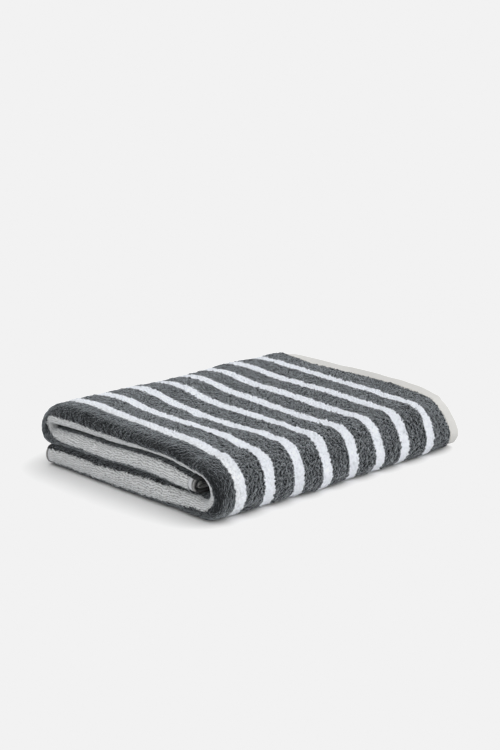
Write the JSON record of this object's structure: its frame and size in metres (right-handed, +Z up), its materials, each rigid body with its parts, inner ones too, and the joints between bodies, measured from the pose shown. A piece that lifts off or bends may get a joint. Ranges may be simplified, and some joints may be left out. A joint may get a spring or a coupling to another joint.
{
  "type": "folded bath towel",
  "caption": "Striped terry bath towel folded in quarters and then letter-folded in thirds, with flat-woven end hems; the front fold opens like a book.",
  "frame": {"origin": "middle of the folded towel's footprint, on the surface it lies on", "axes": "+X along the towel's length towards the hemmed end, -X towards the folded ridges, -Y towards the wide front fold, +Y towards the back fold, +Z up"},
  "size_m": [0.352, 0.267, 0.064],
  "materials": {
    "terry": "looped cotton terry, charcoal with white cross stripes",
    "hem": "flat-woven off-white cotton",
    "side_hem": "turned and stitched cotton edge"
  },
  "bodies": {
    "base": {"bottom_panel_end_hem": "hem", "bottom_panel_inner_cloth": "terry", "bottom_panel_inner_end_hem": "hem", "bottom_panel_middle_fold": "terry", "bottom_panel_outer_cloth": "terry", "bottom_side_hem_inner_layers": "side_hem", "bottom_side_hem_middle_fold": "side_hem", "bottom_side_hem_outer_layers": "side_hem", "front_fold_lower_end_hem": "hem", "front_fold_lower_inner_cloth": "terry", "front_fold_lower_inner_end_hem": "hem", "front_fold_lower_middle_fold": "terry", "front_fold_lower_outer_cloth": "terry"},
    "front_wall": {"front_fold_middle_end_hem": "hem", "front_fold_middle_inner_cloth": "terry", "front_fold_middle_inner_end_hem": "hem", "front_fold_middle_middle_fold": "terry", "front_fold_middle_outer_cloth": "terry"},
    "cover": {"back_fold_end_hem": "hem", "back_fold_inner_cloth": "terry", "back_fold_inner_end_hem": "hem", "back_fold_middle_fold": "terry", "back_fold_outer_cloth": "terry", "front_fold_upper_end_hem": "hem", "front_fold_upper_inner_cloth": "terry", "front_fold_upper_inner_end_hem": "hem", "front_fold_upper_middle_fold": "terry", "front_fold_upper_outer_cloth": "terry", "inner_panel_end_hem": "hem", "inner_panel_inner_cloth": "terry", "inner_panel_inner_end_hem": "hem", "inner_panel_middle_fold": "terry", "inner_panel_outer_cloth": "terry", "inner_side_hem_inner_layers": "side_hem", "inner_side_hem_middle_fold": "side_hem", "inner_side_hem_outer_layers": "side_hem", "top_panel_end_hem": "hem", "top_panel_inner_cloth": "terry", "top_panel_inner_end_hem": "hem", "top_panel_middle_fold": "terry", "top_panel_outer_cloth": "terry"}
  },
  "joints": [
    {"name": "lower_front_fold", "type": "hinge", "parent": "base", "child": "front_wall", "pos_m": [0, -0.12413, 0.00937], "axis": [1, 0, 0], "range_deg": [0, 90]},
    {"name": "upper_front_fold", "type": "hinge", "parent": "front_wall", "child": "cover", "pos_m": [0, -0.12413, 0.05463], "axis": [1, 0, 0], "range_deg": [0, 90]}
  ],
  "couplings": [
    {"joint": "lower_front_fold", "follows": "upper_front_fold", "ratio": 1}
  ]
}
